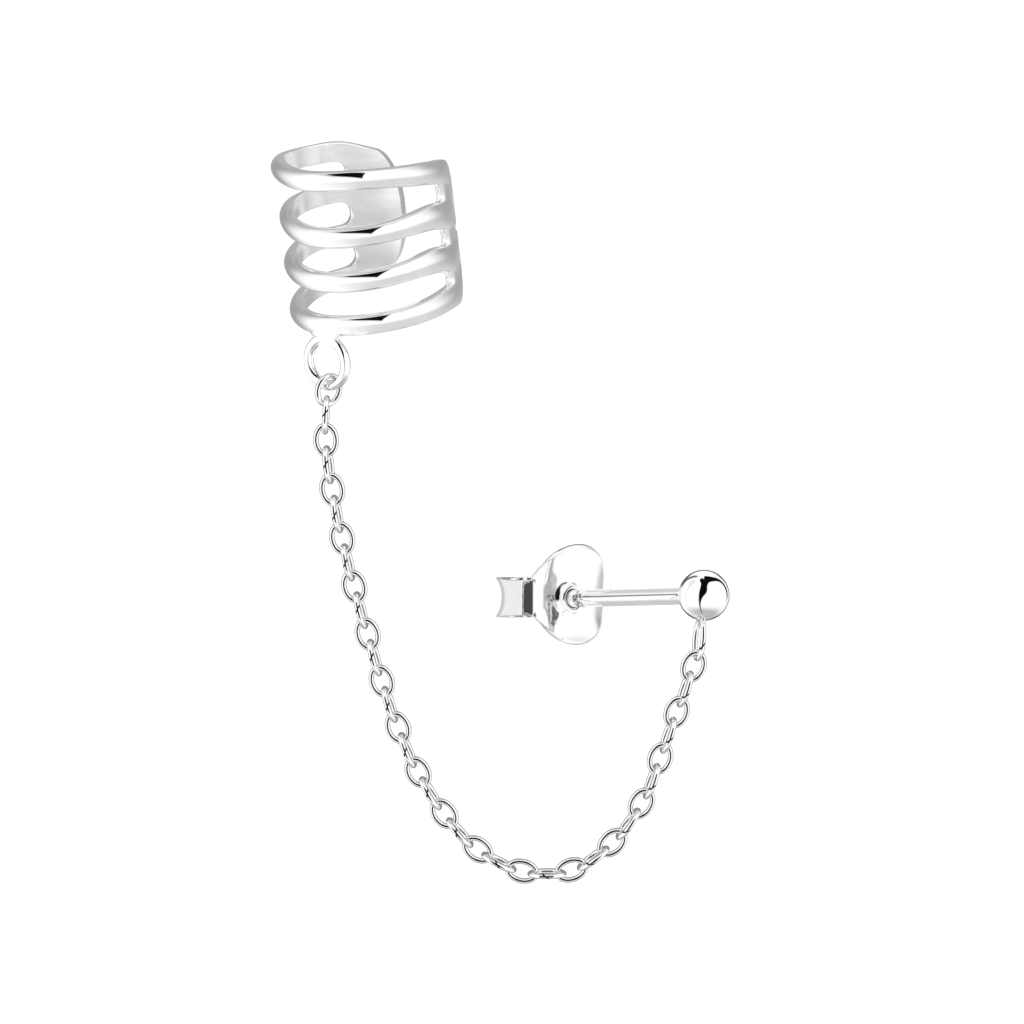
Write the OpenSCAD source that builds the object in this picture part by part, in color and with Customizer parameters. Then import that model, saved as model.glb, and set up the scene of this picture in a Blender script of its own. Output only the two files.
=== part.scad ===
// Ear chain earring: a four-band ear cuff and a ball stud joined by a hanging cable chain.
// The origin is the middle of the cuff's hollow, where it clasps the rim of the ear.
// +Z is up as worn, +X is the stud's side and -Y faces the viewer. Millimetres and degrees.
// Angles round the cuff are counted from its front, and grow towards the stud's side.

/* [Cuff] */
// Clear width inside the cuff
cuff_inner_d = 7.3; // [6:0.1:9]
// Height over all four bands
cuff_h = 8.4; // [7.8:0.1:10]
// Height of one band
band_w = 1; // [0.8:0.05:1.2]
// Thickness of a band at its crown
band_t = 0.7; // [0.55:0.05:0.9]
// Thickness of a band along its edges
band_edge_t = 0.25; // [0.15:0.05:0.4]
// Thickness of the end bar between the bands
bar_t = 0.6; // [0.45:0.05:0.65]
// Thickness of the rounded back plate
plate_t = 0.5; // [0.35:0.05:0.7]
// Angle of the end bar's free edge
bar_angle = 95.5; // [86:0.5:104]
// Angle that the end bar spans
bar_span = 23.5; // [16:0.5:30]
// Angle of the back plate's free edge
plate_angle = 206; // [196:1:214]
// Angle that the back plate spans
plate_span = 40.5; // [30:0.5:46]
// Lean of the cuff to the left
cuff_lean = 6.3; // [0:0.1:12]

/* [Eye] */
// Outside width of the eye under the lowest band
eye_d = 2.8; // [2.4:0.05:3.4]
// Wire thickness of the eye
eye_wire = 0.5; // [0.4:0.05:0.6]
// Angle of the eye round the cuff
eye_angle = -37.5; // [-55:0.5:-20]
// Width of the solder between the eye and the band
solder_w = 1.4; // [1:0.05:1.8]

/* [Chain] */
// Length of the links that show their face, over the wire
link_l = 1.65; // [1.5:0.01:1.9]
// Length of the links that show their edge, over the wire
side_link_l = 1.88; // [1.6:0.01:2]
// Width of a link over its wire
link_w = 1.23; // [1.1:0.01:1.4]
// Width of the first link, which hangs on the eye
hook_link_w = 1.4; // [1.3:0.01:1.5]
// Wire thickness of a link
link_wire = 0.24; // [0.2:0.01:0.26]
// Angle by which every other link falls short of a quarter turn
link_twist = 14; // [0:1:15]
// Angle along the eye's wire, off its lowest point, at which the first link hangs
hook_angle = 10; // [0:1:20]
// Turn of the first link round the eye's wire
hook_turn = 26; // [20:1:32]
// Sag of the chain below the straight line between its ends
chain_sag = 18.3; // [12:0.1:26]

/* [Stud] */
// Diameter of the ball
ball_d = 2.5; // [2:0.1:3.2]
// Distance of the ball to the right of the cuff's middle
ball_right = 16.4; // [13:0.1:22]
// Distance of the ball below the cuff's middle
ball_down = 17.5; // [15:0.1:22]
// Diameter of the post
post_d = 0.9; // [0.7:0.05:1]
// Length of the post behind the ball
post_l = 11.4; // [9.5:0.1:13]
// Angle of the post behind the plane of the chain
post_swing = 45; // [30:1:60]
// Dip of the post below the level
post_dip = 12; // [0:0.5:15]
// Width of the catch groove round the post
groove_w = 0.6; // [0.3:0.05:0.8]
// Depth of the catch groove
groove_depth = 0.06; // [0.03:0.01:0.1]
// Length of the link that is soldered under the ball
end_link_l = 2.2; // [1.8:0.05:2.5]
// Lean of the soldered link out of the upright
end_link_lean = 5.5; // [0:0.5:15]
// Turn of the soldered link about its length, against the link in it
end_link_turn = 70; // [60:1:90]

/* [Ear nut] */
// Turn of the nut round the post
nut_turn = 12; // [0:1:30]
// Distance from the ball to the nut's plate
nut_at = 8.35; // [6:0.05:8.8]
// Diameter of the nut's plate
nut_d = 5.1; // [4.4:0.1:6]
// Radius to which the plate is bowed
nut_bow = 4; // [3.4:0.1:7]
// Thickness of the nut's sheet
nut_t = 0.25; // [0.2:0.01:0.3]
// Width of the two curled strips
strip_w = 2.05; // [1.6:0.05:2.4]
// Radius of a strip's curl at mid sheet
curl_r = 0.8; // [0.7:0.02:0.95]
// Depth of the curls behind the plate
curl_depth = 2.75; // [2.5:0.05:3]
// Outside diameter of the collar round the hole
collar_d = 1.4; // [1.25:0.05:1.6]
// Height of the collar in front of the plate
collar_h = 0.35; // [0.2:0.05:0.5]

/* [Fits] */
// Gap between the post and the nut's hole and curls
nut_gap = 0.03; // [0.02:0.005:0.05]
// Play between the wires of two links
link_play = 0.03; // [0.02:0.005:0.05]
// Play between the eye's wire and the first link, which crosses it aslant
hook_play = 0.09; // [0.08:0.01:0.12]
// Depth to which soldered wires sink into each other
solder_sink = 0.12; // [0.08:0.01:0.16]

/* [Hidden] */
SILVER = [0.86, 0.87, 0.88];

// Heights of the bands' middles round the cuff, as shares of half the height between the outer two.
// A row is the angle, then the top, upper, lower and bottom band.
BAND_ROWS = [
    [-187, 0.77, 0.30, -0.16, -0.61],
    [-165, 0.905, 0.365, -0.215, -0.77],
    [-135, 0.945, 0.37, -0.205, -0.805],
    [-90, 0.985, 0.32, -0.30, -0.93],
    [-45, 0.91, 0.17, -0.43, -1.02],
    [0, 0.89, 0.145, -0.44, -1.02],
    [50, 0.825, 0.21, -0.36, -0.965],
    [72, 0.775, 0.165, -0.42, -0.93]
];
ANGLE = 0;

// The chain's route from the eye to the soldered link, as it hangs.
// A row is the share of the way across, then the share of the sag.
CHAIN_ROUTE = [
    [0, 0],
    [-0.015, 0.12],
    [-0.005, 0.26],
    [0.035, 0.44],
    [0.095, 0.625],
    [0.16, 0.79],
    [0.235, 0.915],
    [0.355, 1.00],
    [0.485, 0.99],
    [0.625, 0.90],
    [0.745, 0.745],
    [0.85, 0.53],
    [0.925, 0.27],
    [1, 0]
];

function mix(a, b, share) = a + (b - a) * share;
function clamp(x) = max(0, min(1, x));
function smooth(x, from, to) = let (s = clamp((x - from) / (to - from))) s * s * (3 - 2 * s);
function unit(v) = v / norm(v);

// Cuff sizes
inner_r = cuff_inner_d / 2;
crown_r = inner_r + band_t;
band_reach = (cuff_h - band_w) / 2;
window_angle = bar_angle - bar_span;
slot_angle = plate_angle - plate_span;
plate_round = plate_span * 0.47;
slot_round = 8;
slot_end_share = 0.3;
window_end_share = 0.7;
window_taper = 55;
bar_ripple = 0.07;
// How square the corners of the end bar are: 2 is an oval, and more is squarer
bar_squareness = 2.35;
band_count = 4;
// How far each band is drawn in at its left side, as a share of the inner radius
BAND_TUCK = [0, 0.035, 0.02, 0.02];
// A band's outer lines, as shares of its half height from its top edge to its bottom edge
BAND_LINES = [-1, -0.64, 0, 0.64, 1];
outer_lines = len(BAND_LINES);
ring_size = band_count * (outer_lines + 2);

function row_slope(k, column) =
    let (last = len(BAND_ROWS) - 1, i = max(k - 1, 0), j = min(k + 1, last))
    (BAND_ROWS[j][column] - BAND_ROWS[i][column]) / (BAND_ROWS[j][ANGLE] - BAND_ROWS[i][ANGLE]);

// Height of a band's middle at an angle, on a smooth curve through the rows
function band_middle(band, angle) =
    let (
        last = len(BAND_ROWS) - 1,
        a = max(BAND_ROWS[0][ANGLE], min(BAND_ROWS[last][ANGLE], angle)),
        k = min(last - 1, len([for (row = BAND_ROWS) if (row[ANGLE] <= a) 1]) - 1),
        step = BAND_ROWS[k + 1][ANGLE] - BAND_ROWS[k][ANGLE],
        s = (a - BAND_ROWS[k][ANGLE]) / step,
        from = BAND_ROWS[k][band + 1],
        to = BAND_ROWS[k + 1][band + 1],
        bend = row_slope(k, band + 1) * step * s * (1 - s) * (1 - s)
            - row_slope(k + 1, band + 1) * step * s * s * (1 - s)
    )
    band_reach * (mix(from, to, s * s * (3 - 2 * s)) + bend);

// Share of the full gap between two bands that stays open, so that slots end round
function gap_share(angle) =
    let (into_slot = clamp((-slot_angle + slot_round - angle) / slot_round))
    angle < 0
        ? mix(slot_end_share, 1, sqrt(1 - into_slot * into_slot))
        : mix(1, window_end_share, smooth(angle, window_angle - window_taper, window_angle));

function in_plate(angle) = smooth(-angle, slot_angle - 25, slot_angle);
function in_bar(angle) = smooth(angle, window_angle - 15, window_angle + bar_span * 0.6);
function crown_t(angle) = mix(mix(band_t, bar_t + bar_ripple, in_bar(angle)), plate_t, in_plate(angle));
function edge_t(angle) = mix(mix(band_edge_t, bar_t, in_bar(angle)), plate_t, in_plate(angle));

// Both free ends of the cuff close in a curve
function end_scale(angle) =
    let (
        back = clamp((-angle - plate_angle + plate_round) / plate_round),
        front = clamp((angle - window_angle) / bar_span)
    )
    sqrt(1 - back * back) * pow(1 - pow(front, bar_squareness), 1 / bar_squareness);

function half_gap(band, angle) = (band_middle(band, angle) - band_middle(band + 1, angle) - band_w) / 2;
function closed_gap(band, angle) =
    (band < 0 || band > band_count - 2) ? 0 : (1 - gap_share(angle)) * half_gap(band, angle);
function band_top(band, angle) = band_middle(band, angle) + band_w / 2 + closed_gap(band - 1, angle);
function band_bottom(band, angle) = band_middle(band, angle) - band_w / 2 - closed_gap(band, angle);
function tucked_r(band, angle) =
    let (drawn_in = (angle < -135 || angle > -45) ? 0 : pow(cos(angle * 2), 2))
    inner_r * (1 - BAND_TUCK[band] * drawn_in);
function cuff_point(radius, angle, height) =
    let (middle = (band_top(0, angle) + band_bottom(band_count - 1, angle)) / 2)
    [radius * sin(angle), -radius * cos(angle), middle + (height - middle) * end_scale(angle)];

// One ring of points at an angle: the bands' outer lines from the top down, then their inner edges
function cuff_ring(angle) = concat(
    [
        for (band = [0 : band_count - 1], line = BAND_LINES)
            let (
                height = mix(band_top(band, angle), band_bottom(band, angle), (line + 1) / 2),
                thick = mix(edge_t(angle), crown_t(angle), sqrt(1 - line * line))
            )
            cuff_point(tucked_r(band, angle) + thick, angle, height)
    ],
    [
        for (band = [0 : band_count - 1], side = [0, 1])
            let (height = mix(band_top(band, angle), band_bottom(band, angle), side))
            cuff_point(tucked_r(band, angle), angle, height)
    ]
);

// Angles of the rings, from the back plate's free edge round the front to the end bar's
cuff_step = 5.5;
slot_open = slot_angle - slot_round;
free_steps = ceil((slot_open + window_angle) / cuff_step);
CUFF_ANGLES = concat(
    [for (q = [75 : -15 : 15]) -(plate_angle - plate_round * (1 - sin(q)))],
    [for (k = [0 : 3]) -mix(plate_angle - plate_round, slot_angle, k / 4)],
    [for (q = [0 : 22.5 : 67.5]) -(slot_angle - slot_round * (1 - cos(q)))],
    [for (k = [0 : free_steps]) mix(-slot_open, window_angle, k / free_steps)],
    [for (q = [15 : 12 : 75]) window_angle + bar_span * sin(q)]
);
cuff_rings = len(CUFF_ANGLES);

function outer_id(ring, line) = ring * ring_size + line;
function inner_id(ring, edge) = ring * ring_size + band_count * outer_lines + edge;
// Two triangles for a quad whose corners run clockwise as seen from outside
function quad(a, b, c, d) = [[a, b, c], [a, c, d]];
function gap_closed(ring) =
    let (middle = (CUFF_ANGLES[ring] + CUFF_ANGLES[ring + 1]) / 2)
    middle < -slot_angle || middle > window_angle;
function each_of(lists) = [for (list = lists) each list];

// The skin between one ring and the next
function cuff_strip(r) = concat(
    each_of([
        for (line = [0 : band_count * outer_lines - 2])
            if (gap_closed(r) || line % outer_lines != outer_lines - 1)
                quad(outer_id(r, line), outer_id(r + 1, line), outer_id(r + 1, line + 1), outer_id(r, line + 1))
    ]),
    each_of([
        for (edge = [0 : band_count * 2 - 2])
            if (gap_closed(r) || edge % 2 == 0)
                quad(inner_id(r, edge), inner_id(r, edge + 1), inner_id(r + 1, edge + 1), inner_id(r + 1, edge))
    ]),
    each_of([
        for (band = [0 : band_count - 1])
            let (line = band * outer_lines, edge = band * 2)
            if (band == 0 || !gap_closed(r))
                quad(inner_id(r, edge), inner_id(r + 1, edge), outer_id(r + 1, line), outer_id(r, line))
    ]),
    each_of([
        for (band = [0 : band_count - 1])
            let (line = (band + 1) * outer_lines - 1, edge = band * 2 + 1)
            if (band == band_count - 1 || !gap_closed(r))
                quad(outer_id(r, line), outer_id(r + 1, line), inner_id(r + 1, edge), inner_id(r, edge))
    ])
);

// The end walls of a gap, and of a band at the cuff's free ends
function gap_wall(r, gap) =
    let (line = (gap + 1) * outer_lines - 1, edge = gap * 2 + 1)
    [outer_id(r, line), inner_id(r, edge), inner_id(r, edge + 1), outer_id(r, line + 1)];
function band_wall(r, band) = concat(
    [inner_id(r, band * 2), inner_id(r, band * 2 + 1)],
    [for (line = [outer_lines - 1 : -1 : 0]) outer_id(r, band * outer_lines + line)]
);
function fan(face) = [for (k = [1 : len(face) - 2]) [face[0], face[k], face[k + 1]]];
function turned(faces) = [for (face = faces) [face[2], face[1], face[0]]];

function ring_walls(r) =
    let (
        last = cuff_rings - 1,
        before = r > 0 && gap_closed(r - 1),
        after = r < last && gap_closed(r)
    )
    concat(
        before == after ? [] : each_of([
            for (gap = [0 : band_count - 2]) before ? fan(gap_wall(r, gap)) : turned(fan(gap_wall(r, gap)))
        ]),
        (r > 0 && r < last) ? [] : each_of([
            for (band = [0 : band_count - 1]) r == last ? fan(band_wall(r, band)) : turned(fan(band_wall(r, band)))
        ])
    );

module cuff_body() {
    polyhedron(
        points = each_of([for (angle = CUFF_ANGLES) cuff_ring(angle)]),
        faces = concat(
            each_of([for (r = [0 : cuff_rings - 2]) cuff_strip(r)]),
            each_of([for (r = [0 : cuff_rings - 1]) ring_walls(r)])
        )
    );
}

// The eye hangs upright from the lowest band
eye_r = (eye_d - eye_wire) / 2;
eye_foot_r = inner_r + band_t / 2;
eye_foot_h = band_bottom(band_count - 1, eye_angle);
eye_foot = [
    eye_foot_r * sin(eye_angle) * cos(cuff_lean) - eye_foot_h * sin(cuff_lean),
    -eye_foot_r * cos(eye_angle),
    eye_foot_r * sin(eye_angle) * sin(cuff_lean) + eye_foot_h * cos(cuff_lean)
];
eye_middle = eye_foot - [0, 0, eye_d / 2 - solder_sink];
hook = eye_middle + eye_r * [sin(hook_angle) * cos(eye_angle), sin(hook_angle) * sin(eye_angle), -cos(hook_angle)];

module eye() {
    translate(eye_middle)
        rotate([0, 0, eye_angle]) {
            rotate([90, 0, 0])
                rotate_extrude($fn = 48)
                    translate([eye_r, 0])
                        circle(d = eye_wire, $fn = 24);
            translate([0, 0, eye_r + eye_wire / 4])
                scale([solder_w, eye_wire * 1.1, eye_wire])
                    sphere(d = 1, $fn = 24);
        }
}

module ear_cuff() {
    color(SILVER) {
        rotate([0, -cuff_lean, 0]) cuff_body();
        eye();
    }
}

// The chain hangs in the upright plane of the eye and the ball
ball_r = ball_d / 2;
ball = [ball_right, hook[1], -ball_down];
function link_length(n) = n % 2 == 1 ? link_l : side_link_l;
function link_reach(n) = link_length(n) - link_wire * 2 - link_play;
link_lap = link_wire + link_play / 2;
hook_reach = link_l / 2 - link_wire - eye_wire / 2 - hook_play;
route_start = [hook[0], hook[2] + link_reach(1) / 2 - hook_reach];
end_link_way = [-sin(end_link_lean), -cos(end_link_lean)];
end_link_middle = [ball[0], ball[2]] + end_link_way * (ball_r + end_link_l / 2 - solder_sink);
route_end = end_link_middle + end_link_way * (end_link_l / 2 - link_lap);

function route_row(k) =
    let (row = CHAIN_ROUTE[max(0, min(len(CHAIN_ROUTE) - 1, k))])
    [mix(route_start[0], route_end[0], row[0]), mix(route_start[1], route_end[1], row[0]) - row[1] * chain_sag];

function route_at(k, s) =
    let (a = route_row(k - 1), b = route_row(k), c = route_row(k + 1), d = route_row(k + 2))
    b + (c - a) * s / 2 + (a * 2 - b * 5 + c * 4 - d) * s * s / 2 + (b * 3 - a - c * 3 + d) * s * s * s / 2;

route_fine = 12;
ROUTE = concat(
    [for (k = [0 : len(CHAIN_ROUTE) - 2], s = [0 : route_fine - 1]) route_at(k, s / route_fine)],
    [route_end]
);
function sums(list, k = 0, total = 0) =
    k == len(list) ? [total] : concat([total], sums(list, k + 1, total + list[k]));
ROUTE_LENGTHS = sums([for (k = [1 : len(ROUTE) - 1]) norm(ROUTE[k] - ROUTE[k - 1])]);
route_l = ROUTE_LENGTHS[len(ROUTE) - 1];
link_count = ceil(route_l * 2 / (link_reach(1) + link_reach(2)));
function chain_reach(n) = ceil(n / 2) * link_reach(1) + floor(n / 2) * link_reach(2);

// The joint that lies a number of links along the route
function joint(n) =
    let (
        way = route_l * chain_reach(n) / chain_reach(link_count),
        k = min(len(ROUTE) - 2, len([for (l = ROUTE_LENGTHS) if (l <= way) 1]) - 1),
        share = (way - ROUTE_LENGTHS[k]) / (ROUTE_LENGTHS[k + 1] - ROUTE_LENGTHS[k])
    )
    mix(ROUTE[k], ROUTE[k + 1], share);

// Turn of a link about its own length: 0 shows its face. The second link stays clear of the turned first one.
function link_turn(n) = n == 1 ? hook_turn : n == 2 ? 60 + hook_turn : n % 2 == 1 ? 0 : 90 - link_twist;

link_stations = 16;
link_sides = 6;

// A wire bent to an oval, its length along x and its width along y
function oval_point(length, width, station, side) =
    let (
        a = 360 * station / link_stations,
        b = 360 * side / link_sides,
        half_l = (length - link_wire) / 2,
        half_w = (width - link_wire) / 2,
        out = unit([half_w * cos(a), half_l * sin(a)])
    )
    [
        half_l * cos(a) + link_wire / 2 * cos(b) * out[0],
        half_w * sin(a) + link_wire / 2 * cos(b) * out[1],
        link_wire / 2 * sin(b)
    ];

module oval_link(length, width) {
    function id(station, side) = (station % link_stations) * link_sides + side % link_sides;
    polyhedron(
        points = [
            for (station = [0 : link_stations - 1], side = [0 : link_sides - 1])
                oval_point(length, width, station, side)
        ],
        faces = each_of([
            for (s = [0 : link_stations - 1], side = [0 : link_sides - 1])
                quad(id(s, side), id(s, side + 1), id(s + 1, side + 1), id(s + 1, side))
        ])
    );
}

// Puts a link at a middle point of the chain's plane, along a way in it, with a turn about that way
module on_chain(middle, way, turn) {
    along = [way[0], 0, way[1]];
    across = [-way[1] * cos(turn), sin(turn), way[0] * cos(turn)];
    up = cross(along, across);
    multmatrix([
        [along[0], across[0], up[0], middle[0]],
        [along[1], across[1], up[1], ball[1]],
        [along[2], across[2], up[2], middle[1]],
        [0, 0, 0, 1]
    ])
        children();
}

module chain_link(n) {
    color(SILVER)
        on_chain((joint(n - 1) + joint(n)) / 2, unit(joint(n) - joint(n - 1)), link_turn(n))
            oval_link(link_length(n), n == 1 ? hook_link_w : link_w);
}

// The stud's own frame: z runs from the ball along the post, x points down
module on_stud() {
    translate(ball)
        rotate([0, 90 + post_dip, 180 - post_swing])
            children();
}

groove_start = ball_r + nut_at - nut_t / 2 - collar_h - groove_w - 0.1;
// Radius of the groove's hollow section, from its width and depth
groove_round = (groove_w * groove_w / 4 + groove_depth * groove_depth) / (groove_depth * 2);
post_end = ball_r + post_l;
tip_round = post_d / 4;

module ball_stud() {
    color(SILVER) {
        sphere_at_ball();
        on_stud() post();
        on_chain(end_link_middle, -end_link_way, link_turn(link_count) + end_link_turn)
            oval_link(end_link_l, link_w);
    }
}

module sphere_at_ball() {
    translate(ball) sphere(d = ball_d, $fn = 96);
}

module post() {
    difference() {
        cylinder(d = post_d, h = post_end - tip_round, $fn = 64);
        translate([0, 0, groove_start + groove_w / 2])
            rotate_extrude($fn = 64)
                translate([post_d / 2 - groove_depth + groove_round, 0])
                    circle(r = groove_round, $fn = 48);
    }
    translate([0, 0, post_end - tip_round])
        cylinder(d1 = post_d, d2 = post_d - tip_round * 2, h = tip_round, $fn = 64);
}

// The nut's sheet: a bowed round plate with a collared hole, and two strips that curl back to the post
hole_r = post_d / 2 + nut_gap;
plate_edge = sqrt(nut_d * nut_d - strip_w * strip_w) / 2;
bend_r = 0.35;
grip_y = hole_r + nut_t / 2;
curl_y = plate_edge - bend_r * 0.3 - curl_r;
curl_z = curl_depth - curl_r - nut_t / 2;
lip_r = 0.3;
lip_z = 0.95;
strip_lift = 0.03;

// The strip's middle line, as [y, z] from the plate's edge to the free lip
function arc(y, z, radius, from, to, steps) =
    [for (k = [0 : steps]) let (a = mix(from, to, k / steps)) [y + radius * cos(a), z + radius * sin(a)]];
STRIP = concat(
    [[plate_edge - bend_r - 0.5, 0]],
    arc(curl_y + curl_r - bend_r, bend_r, bend_r, -90, 0, 5),
    arc(curl_y, curl_z, curl_r, 0, 90, 6),
    arc(grip_y + curl_r * 0.85, curl_z, curl_r, 100, 175, 5),
    [[grip_y, curl_z - 0.2]],
    arc(grip_y + lip_r, lip_z, lip_r, 180, 250, 4)
);
function strip_normal(k) =
    let (last = len(STRIP) - 1, way = unit(STRIP[min(k + 1, last)] - STRIP[max(k - 1, 0)]))
    [-way[1], way[0]];
STRIP_OUTLINE = concat(
    [for (k = [0 : len(STRIP) - 1]) STRIP[k] + strip_normal(k) * nut_t / 2],
    [for (k = [len(STRIP) - 1 : -1 : 0]) STRIP[k] - strip_normal(k) * nut_t / 2]
);

module bowed_plate() {
    intersection() {
        translate([0, 0, -nut_bow])
            rotate([90, 0, 0])
                difference() {
                    cylinder(r = nut_bow + nut_t / 2, h = nut_d, center = true, $fn = 128);
                    cylinder(r = nut_bow - nut_t / 2, h = nut_d + 1, center = true, $fn = 128);
                }
        translate([0, 0, -nut_bow / 2])
            linear_extrude(nut_bow)
                intersection() {
                    circle(d = nut_d, $fn = 96);
                    square([nut_d, plate_edge * 2], center = true);
                }
    }
}

module curled_strip() {
    translate([0, 0, strip_lift])
        rotate([90, 0, 90])
            linear_extrude(strip_w, center = true)
                polygon(STRIP_OUTLINE);
}

module ear_nut() {
    color(SILVER)
        on_stud()
            translate([0, 0, ball_r + nut_at])
                rotate([0, 0, nut_turn])
                difference() {
                    union() {
                        bowed_plate();
                        translate([0, 0, -nut_t / 2 - collar_h])
                            cylinder(d = collar_d, h = collar_h + nut_t / 2, $fn = 64);
                        curled_strip();
                        mirror([0, 1, 0]) curled_strip();
                    }
                    cylinder(r = hole_r, h = nut_d, center = true, $fn = 64);
                }
}

function link_name(n) = str("link_", n < 10 ? "0" : "", n);

ear_cuff();
for (n = [1 : link_count])
    chain_link(n);
ball_stud();
ear_nut();
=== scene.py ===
import math

import bpy
import numpy as np
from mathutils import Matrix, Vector


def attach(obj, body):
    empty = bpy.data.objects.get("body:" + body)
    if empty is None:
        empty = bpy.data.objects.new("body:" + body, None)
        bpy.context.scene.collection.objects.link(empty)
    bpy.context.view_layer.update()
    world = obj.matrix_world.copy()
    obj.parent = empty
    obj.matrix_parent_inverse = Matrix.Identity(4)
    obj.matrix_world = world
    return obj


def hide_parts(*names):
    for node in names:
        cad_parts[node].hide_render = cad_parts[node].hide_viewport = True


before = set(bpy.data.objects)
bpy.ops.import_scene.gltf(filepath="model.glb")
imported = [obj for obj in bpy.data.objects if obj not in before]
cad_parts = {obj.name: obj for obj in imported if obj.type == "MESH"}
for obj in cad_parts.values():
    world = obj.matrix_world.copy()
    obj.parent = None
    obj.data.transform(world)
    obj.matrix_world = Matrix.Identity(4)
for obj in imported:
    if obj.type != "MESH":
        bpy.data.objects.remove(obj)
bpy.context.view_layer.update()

# Sizes of the source, in millimetres and degrees. Meshes are made in them and scaled to metres at the end.
MM = 0.001
INNER_R, CUFF_H, BAND_W, BAND_T, BAND_EDGE_T = 3.65, 8.4, 1.0, 0.7, 0.25
BAR_T, PLATE_T, BAR_ANGLE, BAR_SPAN = 0.6, 0.5, 95.5, 23.5
PLATE_ANGLE, PLATE_SPAN, CUFF_LEAN = 206.0, 40.5, 6.3
EYE_R, EYE_WIRE, EYE_ANGLE = 1.15, 0.5, -37.5
EYE_MIDDLE = np.array([-1.94887, -3.17341, -5.81778])
HOOK = np.array([-1.79055, -3.29498, -6.9493])
LINK_L, SIDE_LINK_L, LINK_W, HOOK_LINK_W, LINK_WIRE = 1.65, 1.88, 1.23, 1.4, 0.24
LINK_TWIST, HOOK_TURN, CHAIN_SAG = 14.0, 26.0, 18.3
LINK_PLAY, HOOK_PLAY, SOLDER_SINK = 0.03, 0.09, 0.12
BALL_R, BALL = 1.25, np.array([16.4, HOOK[1], -17.5])
POST_R, POST_END, POST_SWING, POST_DIP = 0.45, 12.65, 45.0, 12.0
GROOVE_START, GROOVE_W, GROOVE_DEPTH = 8.425, 0.6, 0.06
END_LINK_L, END_LINK_LEAN, END_LINK_TURN = 2.2, 5.5, 70.0
NUT_TURN, NUT_AT, NUT_R, NUT_BOW, NUT_T = 12.0, 8.35, 2.55, 4.0, 0.25
STRIP_W, CURL_R, CURL_DEPTH, COLLAR_R, COLLAR_H, HOLE_R = 2.05, 0.8, 2.75, 0.7, 0.35, 0.48

# An angle round the cuff, and there the height of each band's middle as a share of their reach
BAND_ROWS = [
    (-187, 0.77, 0.30, -0.16, -0.61),
    (-165, 0.905, 0.365, -0.215, -0.77),
    (-135, 0.945, 0.37, -0.205, -0.805),
    (-90, 0.985, 0.32, -0.30, -0.93),
    (-45, 0.91, 0.17, -0.43, -1.02),
    (0, 0.89, 0.145, -0.44, -1.02),
    (50, 0.825, 0.21, -0.36, -0.965),
    (72, 0.775, 0.165, -0.42, -0.93),
]
BAND_TUCK = (0, 0.035, 0.02, 0.02)
# Shares of the way across and of the sag
CHAIN_ROUTE = [
    (0, 0), (-0.015, 0.12), (-0.005, 0.26), (0.035, 0.44), (0.095, 0.625), (0.16, 0.79), (0.235, 0.915),
    (0.355, 1.00), (0.485, 0.99), (0.625, 0.90), (0.745, 0.745), (0.85, 0.53), (0.925, 0.27), (1, 0),
]


def sind(a):
    return math.sin(math.radians(a))


def cosd(a):
    return math.cos(math.radians(a))


def mix(a, b, share):
    return a + (b - a) * share


def clamp(x):
    return max(0.0, min(1.0, x))


def smooth(x, start, end):
    s = clamp((x - start) / (end - start))
    return s * s * (3 - 2 * s)


def unit(v):
    v = np.asarray(v, float)
    return v / np.linalg.norm(v)


def run_along(line):
    """The way run from a line's start to each of its points."""
    return np.concatenate([[0], np.cumsum(np.linalg.norm(np.diff(line, axis=0), axis=1))])


def tube_faces(rows, sides, closed=False):
    """Faces of a tube from its rows of points; a closed one's last row meets its first."""
    faces = []
    for row in range(rows if closed else rows - 1):
        here, after = row * sides, (row + 1) % rows * sides
        for side in range(sides):
            beside = (side + 1) % sides
            faces.append((here + side, here + beside, after + beside, after + side))
    return faces


def turned_over(faces):
    """The same four-sided faces, seen from their other side."""
    return [(a, d, c, b) for a, b, c, d in faces]


def mesh_piece(name, points, faces, body, replaced):
    """A new object from points in millimetres, which rides on a body and stands for a CAD node."""
    mesh = bpy.data.meshes.new(name)
    mesh.from_pydata([tuple(float(c) * MM for c in p) for p in points], [], [tuple(f) for f in faces])
    mesh.validate()
    mesh.update()
    mesh.polygons.foreach_set("use_smooth", [True] * len(mesh.polygons))
    piece = bpy.data.objects.new(name, mesh)
    bpy.context.scene.collection.objects.link(piece)
    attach(piece, body)
    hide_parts(replaced)
    return piece


# Cuff. Angle 0 faces the camera and angles grow to its right.
BANDS = 4
BAND_REACH = (CUFF_H - BAND_W) / 2
WINDOW_ANGLE = BAR_ANGLE - BAR_SPAN
SLOT_ANGLE = PLATE_ANGLE - PLATE_SPAN
PLATE_ROUND = PLATE_SPAN * 0.47
SLOT_ROUND, SLOT_END_SHARE, WINDOW_END_SHARE, WINDOW_TAPER = 8, 0.3, 0.7, 55
PLATE_TAPER, BAR_TAPER, BAR_FULL = 25, 15, 0.6
BAR_RIPPLE, BAR_SQUARENESS = 0.07, 2.35
TUCK_START, TUCK_END = -135, -45
RING_STEP = 4.0
OUTER_LINES = (-1, -0.94, -0.8, -0.56, -0.28, 0, 0.28, 0.56, 0.8, 0.94, 1)
INNER_LINES = (-1, -0.9, -0.45, 0.45, 0.9, 1)
POLISHED, BRUSHED, SATIN = range(3)
BRUSHED_START = -164


def row_slope(k, column):
    """How steeply a band rises at a row, from the rows beside it."""
    i, j = max(k - 1, 0), min(k + 1, len(BAND_ROWS) - 1)
    return (BAND_ROWS[j][column] - BAND_ROWS[i][column]) / (BAND_ROWS[j][0] - BAND_ROWS[i][0])


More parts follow.
